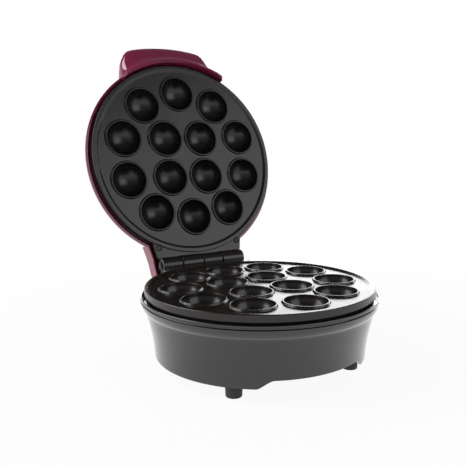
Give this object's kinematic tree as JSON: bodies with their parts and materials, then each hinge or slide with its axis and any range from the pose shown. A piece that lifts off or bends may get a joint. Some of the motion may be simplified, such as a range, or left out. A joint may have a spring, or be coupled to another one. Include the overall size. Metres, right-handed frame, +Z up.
{
  "type": "cake pop maker",
  "caption": "Round countertop cake pop maker with a burgundy hinged lid, black base and two non-stick plates of half-round cups, shown open",
  "frame": {"origin": "on the floor, at the middle of the whole open object's length and width", "axes": "+X to the right seen from the front, +Y from the handle side to the hinge, +Z up"},
  "size_m": [0.2396, 0.347, 0.3358],
  "materials": {
    "body_black": "glossy moulded plastic",
    "lid_burgundy": "deep glossy lacquered plastic",
    "non_stick": "satin non-stick coating on cast aluminium",
    "rubber": "matte rubber",
    "inner_plastic": "matte moulded plastic",
    "steel": "zinc plated steel",
    "aluminium": "pressed sheet",
    "element_sheath": "dark oxidised sheath",
    "ceramic": "unglazed ceramic",
    "red_lens": "clear tinted lens",
    "green_lens": "clear tinted lens",
    "lead_cover": "glass-fibre sleeve",
    "circuit_board": "laminate"
  },
  "bodies": {
    "base": {"base_housing": "body_black", "bottom_cover": "inner_plastic", "bottom_cover_screw_1": "steel", "bottom_cover_screw_2": "steel", "bottom_cover_screw_3": "steel", "bottom_cover_screw_4": "steel", "cord_bush": "rubber", "foot_front_left": "rubber", "foot_front_right": "rubber", "foot_rear_left": "rubber", "foot_rear_right": "rubber", "fuse_clip": "steel", "fuse_clip_screw": "steel", "hinge_pin": "steel", "hinge_pin_ring_left": "steel", "hinge_pin_ring_right": "steel", "lower_element_bush_left": "ceramic", "lower_element_bush_right": "ceramic", "lower_heat_shield": "aluminium", "lower_heating_element": "element_sheath", "lower_lead_left": "lead_cover", "lower_lead_right": "lead_cover", "lower_plate": "non_stick", "lower_plate_screw_1": "steel", "lower_plate_screw_2": "steel", "lower_shield_screw_1": "steel", "lower_shield_screw_2": "steel", "lower_shield_screw_3": "steel", "lower_shield_screw_4": "steel", "terminal_block": "inner_plastic", "terminal_screw_1": "steel", "terminal_screw_2": "steel", "terminal_screw_3": "steel", "thermal_fuse": "lead_cover", "thermostat": "inner_plastic", "thermostat_screw_1": "steel", "thermostat_screw_2": "steel"},
    "lid": {"lamp_board": "circuit_board", "lamp_board_screw_1": "steel", "lamp_board_screw_2": "steel", "lid_cover": "lid_burgundy", "power_lens": "red_lens", "ready_lens": "green_lens", "upper_element_bush_left": "ceramic", "upper_element_bush_right": "ceramic", "upper_heat_shield": "aluminium", "upper_heating_element": "element_sheath", "upper_lead_left": "lead_cover", "upper_lead_right": "lead_cover", "upper_plate": "non_stick", "upper_plate_screw_1": "steel", "upper_plate_screw_2": "steel", "upper_shield_screw_1": "steel", "upper_shield_screw_2": "steel", "upper_shield_screw_3": "steel", "upper_shield_screw_4": "steel"}
  },
  "joints": [
    {"name": "lid_hinge", "type": "hinge", "parent": "base", "child": "lid", "pos_m": [0, 0.07139, 0.0822], "axis": [1, 0, 0], "range_deg": [0, 106.9]}
  ]
}
